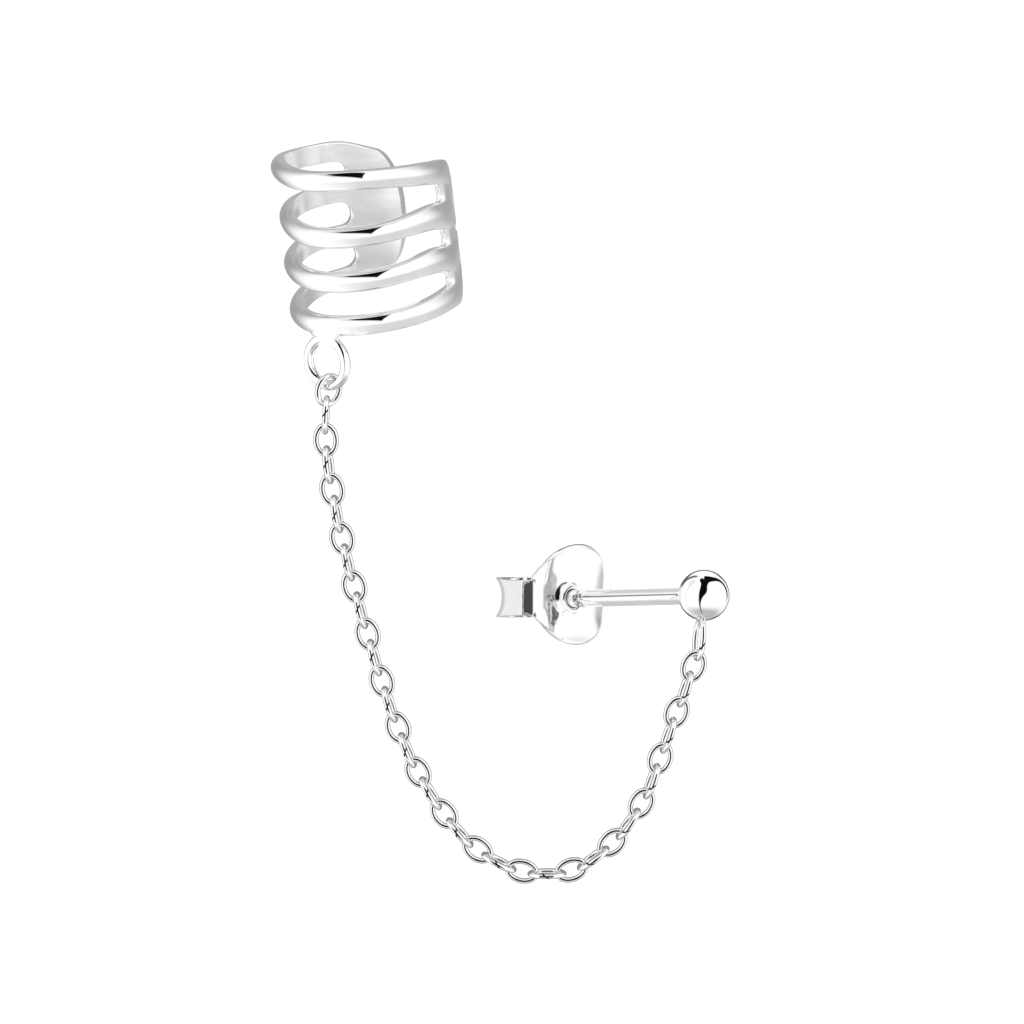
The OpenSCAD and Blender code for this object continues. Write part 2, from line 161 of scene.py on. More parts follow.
def band_middle(band, angle):
    """The height of a band's middle, on a smooth curve through its rows."""
    last = len(BAND_ROWS) - 1
    a = max(BAND_ROWS[0][0], min(BAND_ROWS[last][0], angle))
    k = min(last - 1, sum(row[0] <= a for row in BAND_ROWS) - 1)
    step = BAND_ROWS[k + 1][0] - BAND_ROWS[k][0]
    s = (a - BAND_ROWS[k][0]) / step
    start, end = BAND_ROWS[k][band + 1], BAND_ROWS[k + 1][band + 1]
    leaving, arriving = row_slope(k, band + 1), row_slope(k + 1, band + 1)
    bend = leaving * step * s * (1 - s) ** 2 - arriving * step * s * s * (1 - s)
    return BAND_REACH * (mix(start, end, s * s * (3 - 2 * s)) + bend)


def gap_share(angle):
    """How open the gaps between bands are: 1 in the middle, less at their rounded ends."""
    into_slot = clamp((-SLOT_ANGLE + SLOT_ROUND - angle) / SLOT_ROUND)
    if angle < 0:
        return mix(SLOT_END_SHARE, 1, math.sqrt(1 - into_slot * into_slot))
    return mix(1, WINDOW_END_SHARE, smooth(angle, WINDOW_ANGLE - WINDOW_TAPER, WINDOW_ANGLE))


def in_plate(angle):
    return smooth(-angle, SLOT_ANGLE - PLATE_TAPER, SLOT_ANGLE)


def in_bar(angle):
    return smooth(angle, WINDOW_ANGLE - BAR_TAPER, WINDOW_ANGLE + BAR_SPAN * BAR_FULL)


def crown_t(angle):
    """The thickness at a band's middle line."""
    return mix(mix(BAND_T, BAR_T + BAR_RIPPLE, in_bar(angle)), PLATE_T, in_plate(angle))


def edge_t(angle):
    """The thickness at a band's upper and lower edge."""
    return mix(mix(BAND_EDGE_T, BAR_T, in_bar(angle)), PLATE_T, in_plate(angle))


def end_scale(angle):
    """The cuff's height as a share of the whole, which falls to nothing at its two free ends."""
    back = clamp((-angle - PLATE_ANGLE + PLATE_ROUND) / PLATE_ROUND)
    front = clamp((angle - WINDOW_ANGLE) / BAR_SPAN)
    return math.sqrt(1 - back * back) * (1 - front ** BAR_SQUARENESS) ** (1 / BAR_SQUARENESS)


def closed_gap(band, angle):
    """How far a band widens into the gap below it."""
    if band < 0 or band > BANDS - 2:
        return 0
    half_gap = (band_middle(band, angle) - band_middle(band + 1, angle) - BAND_W) / 2
    return (1 - gap_share(angle)) * half_gap


def band_top(band, angle):
    return band_middle(band, angle) + BAND_W / 2 + closed_gap(band - 1, angle)


def band_bottom(band, angle):
    return band_middle(band, angle) - BAND_W / 2 - closed_gap(band, angle)


def tucked_r(band, angle):
    """A band's inner radius, drawn in a little at the left side."""
    drawn_in = 0 if angle < TUCK_START or angle > TUCK_END else cosd(angle * 2) ** 2
    return INNER_R * (1 - BAND_TUCK[band] * drawn_in)


def cuff_point(radius, angle, height):
    """A point of the leaning cuff, its height drawn in towards the free ends."""
    middle = (band_top(0, angle) + band_bottom(BANDS - 1, angle)) / 2
    h = middle + (height - middle) * end_scale(angle)
    x, y = radius * sind(angle), -radius * cosd(angle)
    return (x * cosd(CUFF_LEAN) - h * sind(CUFF_LEAN), y, x * sind(CUFF_LEAN) + h * cosd(CUFF_LEAN))


def cuff_ring(angle):
    """One section's points: the outer lines of all bands from the top down, then their inner lines."""
    outer, inner = [], []
    for band in range(BANDS):
        top, bottom, radius = band_top(band, angle), band_bottom(band, angle), tucked_r(band, angle)
        for line in OUTER_LINES:
            thick = mix(edge_t(angle), crown_t(angle), math.sqrt(1 - line * line))
            outer.append(cuff_point(radius + thick, angle, mix(top, bottom, (line + 1) / 2)))
        for line in INNER_LINES:
            inner.append(cuff_point(radius, angle, mix(top, bottom, (line + 1) / 2)))
    return outer + inner


def ring_angles():
    """The sections' angles, closer together where the plate, the slots and the bar are round."""
    slot_open = SLOT_ANGLE - SLOT_ROUND
    free = math.ceil((slot_open + WINDOW_ANGLE) / RING_STEP)
    angles = [-(PLATE_ANGLE - PLATE_ROUND * (1 - sind(q))) for q in (84, 78, 70, 60, 48, 36, 24, 12)]
    angles += [-mix(PLATE_ANGLE - PLATE_ROUND, SLOT_ANGLE, k / 6) for k in range(6)]
    angles += [-(SLOT_ANGLE - SLOT_ROUND * (1 - cosd(q))) for q in (0, 14, 30, 48, 68)]
    angles += [mix(-slot_open, WINDOW_ANGLE, k / free) for k in range(free + 1)]
    angles += [WINDOW_ANGLE + BAR_SPAN * sind(q) for q in (9, 18, 28, 38, 48, 58, 67, 75, 81, 85)]
    return angles


def bridge(first, second, points):
    """Triangles between two rows of points that run the same way."""
    def apart(a, b):
        return np.linalg.norm(np.array(points[first[a]]) - np.array(points[second[b]]))

    faces, i, j = [], 0, 0
    while i < len(first) - 1 or j < len(second) - 1:
        first_done, second_done = i == len(first) - 1, j == len(second) - 1
        if second_done or not first_done and apart(i + 1, j) < apart(i, j + 1):
            faces.append((first[i], second[j], first[i + 1]))
            i += 1
        else:
            faces.append((first[i], second[j], second[j + 1]))
            j += 1
    return faces


def build_bands():
    angles = ring_angles()
    rings, outer, inner = len(angles), len(OUTER_LINES), len(INNER_LINES)
    size = BANDS * (outer + inner)

    def out_id(ring, line):
        return ring * size + line

    def in_id(ring, line):
        return ring * size + BANDS * outer + line

    def closed(ring):
        """Whether the bands are joined between this ring and the next."""
        middle = (angles[ring] + angles[ring + 1]) / 2
        return middle < -SLOT_ANGLE or middle > WINDOW_ANGLE

    points = [p for a in angles for p in cuff_ring(a)]
    faces, finish = [], {}
    for r in range(rings - 1):
        for line in range(BANDS * outer - 1):
            if closed(r) or line % outer != outer - 1:
                here, after = out_id(r, line), out_id(r + 1, line)
                faces.append((here, here + 1, after + 1, after))
        for line in range(BANDS * inner - 1):
            if closed(r) or line % inner != inner - 1:
                here, after = in_id(r, line), in_id(r + 1, line)
                # The lower bands are brushed inside, and the rest of the inside is satin
                brushed = line >= inner and BRUSHED_START < angles[r] < WINDOW_ANGLE
                finish[len(faces)] = BRUSHED if brushed else SATIN
                faces.append((here, after, after + 1, here + 1))
        # The bands' upper and lower edges
        for band in range(BANDS):
            a, b = band * outer, band * inner
            if band == 0 or not closed(r):
                faces.append((in_id(r, b), out_id(r, a), out_id(r + 1, a), in_id(r + 1, b)))
            a, b = a + outer - 1, b + inner - 1
            if band == BANDS - 1 or not closed(r):
                faces.append((out_id(r, a), in_id(r, b), in_id(r + 1, b), out_id(r + 1, a)))
    # The walls where the gaps end at the plate and at the bar
    for r in range(rings):
        before = r > 0 and closed(r - 1)
        after = r < rings - 1 and closed(r)
        if before != after:
            for gap in range(BANDS - 1):
                a, b = (gap + 1) * outer - 1, (gap + 1) * inner - 1
                wall = (out_id(r, a), in_id(r, b), in_id(r, b + 1), out_id(r, a + 1))
                finish[len(faces)] = BRUSHED
                faces.append(tuple(reversed(wall)) if before else wall)
    # The free ends close with triangles between the outer and the inner lines
    for r in (0, rings - 1):
        outs = [out_id(r, k) for k in range(BANDS * outer)]
        ins = [in_id(r, k) for k in range(BANDS * inner)]
        end_walls = bridge(outs, ins, points)
        faces += [tuple(reversed(f)) for f in end_walls] if r == 0 else end_walls
    cuff = mesh_piece("cuff_bands", points, faces, "ear_chain", "ear_cuff")
    cuff.data.polygons.foreach_set("material_index", [finish.get(k, POLISHED) for k in range(len(faces))])
    rounded = cuff.modifiers.new("rounded", "SUBSURF")
    rounded.levels = rounded.render_levels = 2
    return cuff


# Eye and its solder
EYE_ACROSS = np.array([cosd(EYE_ANGLE), sind(EYE_ANGLE), 0])
EYE_OUT = np.array([sind(-EYE_ANGLE), cosd(EYE_ANGLE), 0])
UP = np.array([0, 0, 1.0])
SOLDER_FOOT, SOLDER_HEAD, SOLDER_FLARE = EYE_R - 0.36, EYE_R + 0.42, 1.4
SOLDER_HALF_W, SOLDER_HALF_T, SOLDER_FORWARD = (0.66, 0.96), (0.225, 0.25), 0.04
SOLDER_LIMIT = INNER_R + BAND_T - 0.2


def build_eye():
    stations, sides = 96, 24
    points = []
    for s in range(stations):
        a = 360 * s / stations
        way = EYE_ACROSS * cosd(a) + UP * sind(a)
        for t in range(sides):
            b = 360 * t / sides
            from_middle = way * (EYE_R + EYE_WIRE / 2 * cosd(b))
            points.append(EYE_MIDDLE + from_middle + EYE_OUT * EYE_WIRE / 2 * sind(b))
    return mesh_piece("cuff_eye", points, tube_faces(stations, sides, closed=True), "ear_chain", "ear_cuff")


def build_solder():
    """A column that flares from the eye's top into the lowest band."""
    rows, around = 16, 48
    points = []
    for k in range(rows):
        v = k / (rows - 1)
        half_w = mix(*SOLDER_HALF_W, 1 - math.sqrt(1 - min(1, v * SOLDER_FLARE) ** 2))
        half_t = mix(*SOLDER_HALF_T, smooth(v, 0, 0.8))
        z = mix(SOLDER_FOOT, SOLDER_HEAD, v)
        forward = SOLDER_FORWARD * smooth(v, 0.1, 0.8)
        lean = cosd(EYE_ANGLE) * sind(CUFF_LEAN) * smooth(v, 0.2, 0.7)
        for t in range(around):
            b = 360 * t / around
            side = half_w * cosd(b)
            p = EYE_MIDDLE + EYE_ACROSS * side
            p = p + EYE_OUT * (half_t * sind(b) - forward) + UP * (z + lean * side)
            # Its top stays under the band's surface
            over = math.hypot(p[0], p[1]) / SOLDER_LIMIT
            points.append(p / (np.array([over, over, 1.0]) if over > 1 else 1.0))
    return mesh_piece("cuff_solder", points, tube_faces(rows, around), "ear_chain", "ear_cuff")


# Chain. Links that show their face have odd numbers, and links that show their side have even ones.
def link_length(n):
    return LINK_L if n % 2 else SIDE_LINK_L


def link_reach(n):
    return link_length(n) - LINK_WIRE * 2 - LINK_PLAY


HOOK_REACH = LINK_L / 2 - LINK_WIRE - EYE_WIRE / 2 - HOOK_PLAY
ROUTE_START = np.array([HOOK[0], HOOK[2] + link_reach(1) / 2 - HOOK_REACH])
END_WAY = np.array([-sind(END_LINK_LEAN), -cosd(END_LINK_LEAN)])
END_MIDDLE = np.array([BALL[0], BALL[2]]) + END_WAY * (BALL_R + END_LINK_L / 2 - SOLDER_SINK)
ROUTE_END = END_MIDDLE + END_WAY * (END_LINK_L / 2 - LINK_WIRE - LINK_PLAY / 2)
ROUTE_STEPS = 12
SECOND_TURN = 60
# The wire looks thicker than the solid's; its loops grow with it, so the room at the joints stays
SHOWN_EXTRA = 0.04
# Material slot of the links' seam, whose near-black colour is painted shade for the seam's gap
PAINTED_SEAM_SHADE = 1
SEAM_AT, SEAM_SWAY, SEAM_SPREAD = 262, 6, 2.4
SEAM_HALF, SEAM_EDGE, SEAM_SLANT, SLANT_FADE = 3.8, 1.5, 15, 24


def route_point(a, b, c, d, s):
    """A point at share s of the way from b to c, on a smooth curve through a, b, c and d."""
    square, cube = a * 2 - b * 5 + c * 4 - d, b * 3 - a - c * 3 + d
    return b + (c - a) * s / 2 + square * s * s / 2 + cube * s ** 3 / 2


def chain_joints():
    """The places where each link passes to the next, as far apart as the links reach."""
    straight = [mix(ROUTE_START, ROUTE_END, across) for across, _ in CHAIN_ROUTE]
    rows = [np.array([x, z - sag * CHAIN_SAG]) for (x, z), (_, sag) in zip(straight, CHAIN_ROUTE)]
    last = len(rows) - 1
    route = []
    for k in range(last):
        around = rows[max(k - 1, 0)], rows[k], rows[k + 1], rows[min(k + 2, last)]
        route += [route_point(*around, step / ROUTE_STEPS) for step in range(ROUTE_STEPS)]
    route = np.array(route + [ROUTE_END])
    lengths = run_along(route)
    count = math.ceil(lengths[-1] * 2 / (link_reach(1) + link_reach(2)))
    reach = np.array([math.ceil(n / 2) * link_reach(1) + n // 2 * link_reach(2) for n in range(count + 1)])
    way = lengths[-1] * reach / reach[-1]
    return np.stack([np.interp(way, lengths, route[:, 0]), np.interp(way, lengths, route[:, 1])], 1)


def link_turn(n, way):
    """A link's turn about its own length; the twist of the side links fades as the chain runs level."""
    if n == 1:
        return HOOK_TURN
    if n == 2:
        return SECOND_TURN + HOOK_TURN
    return 0 if n % 2 else 90 - LINK_TWIST * (1 - 0.75 * way[0] - 0.4 * way[0] ** 2)


def link_piece(name, node, middle, way, turn, length, width, seam=None, stations=56, sides=14):
    """An oval link in the chain's plane, with a slanted butt seam round the angle that seam gives."""
    along = np.array([way[0], 0, way[1]])
    across = np.array([-way[1] * cosd(turn), sind(turn), way[0] * cosd(turn)])
    up = np.cross(along, across)
    centre = np.array([middle[0], BALL[1], middle[1]])
    half_l, half_w = (length - LINK_WIRE + SHOWN_EXTRA) / 2, (width - LINK_WIRE) / 2
    r = (LINK_WIRE + SHOWN_EXTRA) / 2
    angles = [360 * s / stations for s in range(stations)]
    if seam is not None:
        angles = [a for a in angles if abs(a - seam) > SEAM_HALF + 1]
        angles = sorted(angles + [seam + d for d in (-SEAM_HALF, -SEAM_EDGE, SEAM_EDGE, SEAM_HALF)])
    points = []
    for a in angles:
        slant = 0 if seam is None else SEAM_SLANT * clamp(1 - abs(a - seam) / SLANT_FADE)
        for side in range(sides):
            b = 360 * side / sides
            c = a - slant * sind(b)
            out = unit([half_w * cosd(c), half_l * sind(c)])
            p = (half_l * cosd(c) + r * cosd(b) * out[0], half_w * sind(c) + r * cosd(b) * out[1])
            points.append(centre + along * p[0] + across * p[1] + up * r * sind(b))
    link = mesh_piece(name, points, tube_faces(len(angles), sides, closed=True), "ear_chain", node)
    if seam is not None:
        first = angles.index(seam - SEAM_HALF)
        # The seam's faces take the near-black painted shade of its gap
        for face in range(first * sides, (first + 3) * sides):
            link.data.polygons[face].material_index = PAINTED_SEAM_SHADE
    return link


def build_chain():
    joints = chain_joints()
    links = []
    for n in range(1, len(joints)):
        middle, way = (joints[n - 1] + joints[n]) / 2, unit(joints[n] - joints[n - 1])
        turn, length, width = link_turn(n, way), link_length(n), HOOK_LINK_W if n == 1 else LINK_W
        seam = None if n % 2 else SEAM_AT + SEAM_SWAY * math.sin(n * SEAM_SPREAD)
        name = "link_%02d" % n
        links.append(link_piece("wire_" + name, name, middle, way, turn, length, width, seam))
    return links


# Stud
POST_WAY = np.array([-cosd(POST_SWING) * cosd(POST_DIP), sind(POST_SWING) * cosd(POST_DIP), -sind(POST_DIP)])
STUD_DOWN = unit(np.cross(np.array([-sind(POST_SWING), -cosd(POST_SWING), 0]), POST_WAY))
if STUD_DOWN[2] > 0:
    STUD_DOWN = -STUD_DOWN
STUD_SIDE = np.cross(POST_WAY, STUD_DOWN)
TIP = 1e-4
POST_START, FILLET_R, FILLET_H = 1.1662, 0.13, 0.16
END_ROUND, END_ROUND_H = 0.22, 0.24


def on_stud(x, y, z):
    """A point in the stud's own frame: z along the post from the ball, x down."""
    return BALL + STUD_DOWN * x + STUD_SIDE * y + POST_WAY * z


def turned_piece(name, profile, around):
    """A profile of (radius, height) pairs turned about the stud's axis."""
    points = []
    for radius, z in profile:
        for t in range(around):
            b = 360 * t / around
            points.append(on_stud(radius * cosd(b), radius * sind(b), z))
    return mesh_piece(name, points, tube_faces(len(profile), around), "ear_chain", "ball_stud")


def build_ball():
    # It stays open under the post
    profile = [(TIP, -BALL_R)]
    profile += [(BALL_R * sind(q), -BALL_R * cosd(q)) for q in range(4, 164, 4)]
    return turned_piece("stud_ball", profile, 96)


def build_post():
    # It leaves the ball with a small fillet of solder
    profile = [(POST_R + FILLET_R, POST_START - 0.06)]
    for q in (0, 15, 30, 45, 60, 75, 90):
        profile.append((POST_R + FILLET_R * (1 - sind(q)), POST_START + 0.02 + FILLET_H * (1 - cosd(q))))
    profile += [(POST_R, z) for z in np.linspace(POST_START + 0.35, GROOVE_START - 0.05, 60)]
    for k in range(9):
        s = k / 8
        profile.append((POST_R - GROOVE_DEPTH * math.sin(math.pi * s) ** 0.8, GROOVE_START + GROOVE_W * s))
    profile += [(POST_R, z) for z in np.linspace(GROOVE_START + GROOVE_W + 0.05, POST_END - 0.26, 10)]
    for q in range(10, 90, 10):
        profile.append((POST_R - END_ROUND * (1 - cosd(q)), POST_END - END_ROUND_H + END_ROUND_H * sind(q)))
    profile += [(POST_R - END_ROUND, POST_END), (TIP, POST_END)]
    return turned_piece("stud_post", profile, 72)


def build_loop():
    """The long link that is soldered under the ball."""
    return link_piece(
        "stud_loop", "ball_stud", END_MIDDLE, -END_WAY, END_LINK_TURN, END_LINK_L, LINK_W, SEAM_AT, 64, 16
    )


# Nut
def on_nut(x, y, z):
    """A point in the nut's own frame: z along the post from the plate's middle surface."""
    c, s = cosd(NUT_TURN), sind(NUT_TURN)
    return on_stud(x * c - y * s, x * s + y * c, BALL_R + NUT_AT + z)


PLATE_EDGE = math.sqrt((NUT_R * 2) ** 2 - STRIP_W ** 2) / 2
FAR_SIDE = 1 if on_nut(0, 1, 0)[0] > on_nut(0, -1, 0)[0] else -1
PLATE_R = NUT_R + 0.03
PLATE_RISE, PLATE_SQUEEZE = 0.19, 0.965
PLATE_AROUND = 288
PLATE_RINGS = (0.48, 0.6, 0.72, 0.84, 0.92, 0.96, 0.99, 1.02, 1.05, 1.08, 1.12, 1.2)
PLATE_SHARES = (0.1, 0.2, 0.32, 0.44, 0.56, 0.68, 0.78, 0.86, 0.92, 0.96)
RIM_ROWS = ((1, -0.07), (0.86, -0.02), (0.5, 0), (0, 0), (-0.5, 0), (-0.86, -0.02), (-1, -0.07))
PRESSED_R, PRESSED_HALF, PRESSED_DEPTH = 1.02, 0.035, 0.012
RIM_NARROW, RIM_THIN = 0.12, 0.35
BEND_R, BEND_START, BEND_TURN, CORNER_TURN = 0.6, 1.494, 70.0, 48
FAR_STRETCH, FAR_START, FAR_CURVE = 1.09, 1.45, 0.2
COLLAR_AROUND = 72
GRIP_Y = HOLE_R + NUT_T / 2
STRIP_LEAN, EASE_R, CURL_INSET, LIP_R, LIP_Z = 0.45, 0.3, 0.105, 0.3, 0.95
ROOT_HALF, ROOT_MIDDLE, CURL_MIDDLE = 0.89, -0.015, -0.1
CURL_FLARE, FLARE_POWER, FLARE_BASE, STRIP_CAMBER = 0.50, 2.4, 0.12, 0.02
STRIP_LINES = (-0.975, -0.93, -0.8, -0.6, -0.4, -0.2, 0, 0.2, 0.4, 0.6, 0.8, 0.93, 0.975)


def plate_outline(angle):
    """Distance from the hole's middle to the plate's edge, which is cut straight where a curl starts."""
    if sind(angle) * FAR_SIDE > 0:
        return PLATE_R
    return min(PLATE_R, PLATE_EDGE / max(1e-6, abs(sind(angle))))


def plate_bow(x):
    """Nearly flat round the hole, and bowed towards the two ends."""
    return -(NUT_BOW - math.sqrt(NUT_BOW ** 2 - x * x)) * smooth(abs(x), 0.1, 1.3)


def bend_place(u, most=BEND_TURN):
    """Where a point at u from the hole's middle lies once the near rim is bent back, and the turn there."""
    turn = max(0, min(most, math.degrees((u - BEND_START) / BEND_R)))
    rest = max(0, u - BEND_START - BEND_R * math.radians(most))
    y = min(u, BEND_START) + BEND_R * sind(turn) + rest * cosd(turn)
    return y, BEND_R * (1 - cosd(turn)) + rest * sind(turn), turn


def plate_point(x, y, thick):
    """A point of the plate; thick is its distance behind the plate's middle surface."""
    slope = (plate_bow(x + 0.01) - plate_bow(x - 0.01)) / 0.02
    if y * FAR_SIDE < 0:
        u, back, turn = bend_place(-y * FAR_SIDE, mix(BEND_TURN, CORNER_TURN, smooth(abs(x), 0.8, 1.0)))
        place = np.array([x, -u * FAR_SIDE, plate_bow(x) + back])
        normal = unit([-slope * cosd(turn), sind(turn) * FAR_SIDE, cosd(turn)])
    else:
        v = y * FAR_SIDE * FAR_STRETCH
        past = max(0, v - FAR_START)
        place = np.array([x, v * FAR_SIDE, plate_bow(x) + FAR_CURVE * past ** 2])
        normal = unit([-slope, -2 * FAR_CURVE * past * FAR_SIDE, 1])
    return on_nut(*(place + normal * thick))


def build_plate():
    """Its section runs out over the back, round the rim and in over the front, to the hole's wall."""
    # Each row: a ring's radius or a share of the way to the edge, the side, and a pull at the rim
    flat = [(r, 0) for r in PLATE_RINGS] + [(0, s) for s in PLATE_SHARES]
    section = [(r, s, 1.0, 0.0) for r, s in flat]
    section += [(0, 1, side, pull) for side, pull in RIM_ROWS]
    section += [(r, s, -1.0, 0.0) for r, s in reversed(flat)]
    points = []
    for ring, share, side, pull in section:
        for k in range(PLATE_AROUND):
            a = 360 * k / PLATE_AROUND
            edge = plate_outline(a)
            r = ring if ring else mix(PLATE_RINGS[-1], edge, share) + pull
            near = -r * sind(a) * FAR_SIDE
            # The near rim is narrowed towards the curl's root, and its front is thinned there
            narrow = 1 - RIM_NARROW * smooth(near, 1.5, 2.3)
            thin = 1 - RIM_THIN * smooth(near, 1.9, 2.3) * (side < 0)
            x = r * cosd(a) * PLATE_SQUEEZE * narrow - PLATE_RISE * (r - HOLE_R) / (edge - HOLE_R)
            # A faint ring is pressed into the front round the hole
            pressed = PRESSED_DEPTH * math.exp(-((r - PRESSED_R) / PRESSED_HALF) ** 2)
            dent = -pressed if side < 0 and cosd(a) > 0 else 0
            points.append(plate_point(x, r * sind(a), NUT_T / 2 * side * thin - dent))
    faces = turned_over(tube_faces(len(section), PLATE_AROUND, closed=True))
    return mesh_piece("nut_plate", points, faces, "ear_nut", "ear_nut")


def build_collar():
    """It is drawn forward round the hole, with a rolled rim."""
    t = NUT_T / 2
    z0, z1 = -COLLAR_H - t, t
    profile = [
        (HOLE_R, z1), (HOLE_R, mix(z1, z0, 0.5)), (HOLE_R, z0 + 0.07), (HOLE_R + 0.03, z0 + 0.02),
        (HOLE_R + 0.08, z0), (COLLAR_R - 0.09, z0), (COLLAR_R - 0.03, z0 + 0.025),
        (COLLAR_R, z0 + 0.09), (COLLAR_R, z0 + 0.2),
        (COLLAR_R + 0.03, -t - 0.06), (COLLAR_R + 0.12, -t - 0.01), (COLLAR_R + 0.2, -t + 0.06),
    ]
    points = []
    for radius, z in profile:
        for k in range(COLLAR_AROUND):
            a = 360 * k / COLLAR_AROUND
            x, y = radius * cosd(a), radius * sind(a)
            bow = math.sqrt(NUT_BOW ** 2 - x * x) - NUT_BOW
            points.append(on_nut(x, y, z + bow * (1 if z > z0 + 0.15 else 0.6)))
    faces = turned_over(tube_faces(len(profile), COLLAR_AROUND))
    return mesh_piece("nut_collar", points, faces, "ear_nut", "ear_nut")


def arc(y, z, radius, start, end, steps):
    """Points (y, z) on a part of a circle round y and z."""
    angles = [mix(start, end, k / steps) for k in range(steps + 1)]
    return [(y + radius * cosd(a), z + radius * sind(a)) for a in angles]


def curl_line():
    """The strip's middle line in (y, z): round the plate's bent rim, back, over in a roll and to the post."""
    bent = BEND_START + BEND_R * math.radians(BEND_TURN)
    line = [bend_place(u)[:2] for u in np.linspace(BEND_START - 0.3, bent, 20)]
    line += [bend_place(u)[:2] for u in np.linspace(bent + 0.06, bent + STRIP_LEAN, 7)]
    y, z = line[-1]
    line += arc(y - EASE_R * sind(BEND_TURN), z + EASE_R * cosd(BEND_TURN), EASE_R, BEND_TURN - 90, 0, 5)[1:]
    y, z = line[-1]
    curl_y, curl_z = PLATE_EDGE - CURL_INSET - CURL_R, CURL_DEPTH - CURL_R - NUT_T / 2
    line += [(mix(y, curl_y + CURL_R, k / 8), mix(z, curl_z, k / 8)) for k in range(1, 8)]
    line += arc(curl_y, curl_z, CURL_R, 0, 90, 16)
    line += arc(GRIP_Y + CURL_R * 0.85, curl_z, CURL_R, 100, 175, 12)
    line += [(GRIP_Y, curl_z - 0.2), (GRIP_Y, mix(curl_z - 0.2, LIP_Z, 0.5))]
    line += arc(GRIP_Y + LIP_R, LIP_Z, LIP_R, 180, 250, 7)
    return np.array(line)


def build_curl(name, side):
    """A strip along the curl's line, on one side of the post; its root lies in the plate's rim."""
    line = curl_line()
    ways = np.gradient(line, axis=0)
    ways /= np.linalg.norm(ways, axis=1)[:, None]
    normals = np.stack([-ways[:, 1], ways[:, 0]], 1)
    # The strip's section, as shares of its half width and half thickness
    section = [(-1, -0.6), (-1, 0.6)] + [(u, 1) for u in STRIP_LINES]
    section += [(1, 0.6), (1, -0.6)] + [(u, -1) for u in reversed(STRIP_LINES)]
    points = []
    for (y, z), normal, run in zip(line, normals, run_along(line)):
        # It widens as it rolls over, and its corners flare
        widen = smooth(run, 1.9, 3.6)
        half, middle = mix(ROOT_HALF, STRIP_W / 2, widen), mix(ROOT_MIDDLE, CURL_MIDDLE, widen)
        outer = y > GRIP_Y + 0.2
        flare = CURL_FLARE * smooth(z, 1.0, CURL_DEPTH - 0.4) * outer
        thick = NUT_T / 2 * mix(0.95, 1.03, smooth(run, 0.2, 0.9))
        for u, v in section:
            out = flare * (abs(u) ** FLARE_POWER + FLARE_BASE)
            camber = STRIP_CAMBER * (1 - u * u) - STRIP_CAMBER * smooth(abs(u), 0.8, 1)
            away = thick * v - (camber * smooth(run, 1.0, 1.4) * outer if v < 0 else 0)
            place = (side * (y + normal[0] * away), z + normal[1] * away + out)
            points.append(on_nut(u * half + middle, *place))
    faces = tube_faces(len(line), len(section))
    faces.append(tuple(reversed(range(len(section)))))
    faces.append(tuple(range(len(points) - len(section), len(points))))
    if side < 0:
        faces = [tuple(reversed(face)) for face in faces]
    return mesh_piece(name, points, faces, "ear_nut", "ear_nut")


class Graph:
    """Shorthand for making the nodes of one node tree."""

    def __init__(self, tree):
        self.tree = tree

    def node(self, kind, **settings):
        made = self.tree.nodes.new(kind)
        for key, value in settings.items():
            setattr(made, key, value)
        return made

    def put(self, target, value):
        if isinstance(value, (int, float, tuple)):
            target.default_value = value
        else:
            self.tree.links.new(value, target)

    def math(self, operation, *values, clamped=False):
        made = self.node("ShaderNodeMath", operation=operation, use_clamp=clamped)
        for k, value in enumerate(values):
            self.put(made.inputs[k], value)
        return made.outputs[0]

    def both(self, a, b):
        return self.math("MULTIPLY", a, b)

    def ramp(self, value, start, end, low=0.0, high=1.0, kind="SMOOTHSTEP"):
        """low up to start, high from end, and a slope between; start may be above end."""
        made = self.node("ShaderNodeMapRange", interpolation_type=kind)
        if start > end:
            start, end, low, high = end, start, high, low
        for k, v in enumerate((value, start, end, low, high)):
            self.put(made.inputs[k], v)
        return made.outputs[0]

    def window(self, value, a, b, c, d):
        """0 below a, 1 from b to c, 0 above d."""
        return self.both(self.ramp(value, a, b), self.ramp(value, c, d, 1.0, 0.0))

    def mix(self, share, a, b):
        made = self.node("ShaderNodeMix", data_type="FLOAT")
        for socket, value in ((0, share), (2, a), (3, b)):
            self.put(made.inputs[socket], value)
        return made.outputs[0]

    def curve(self, value, rows):
        made = self.node("ShaderNodeFloatCurve")
        points = made.mapping.curves[0].points
        points[0].location, points[1].location = rows[0], rows[-1]
        for row in rows[1:-1]:
            points.new(*row)
        made.mapping.update()
        self.put(made.inputs[1], value)
        return made.outputs[0]


# Materials
GRAIN_SCALE, GRAIN_DETAIL, GRAIN_START, GRAIN_END = 900, 5, 0.4, 0.56
MIX_LIGHT, MIX_DARK, MIX_RESULT = 6, 7, 2


def grey(level):
    return (level, level, level, 1)


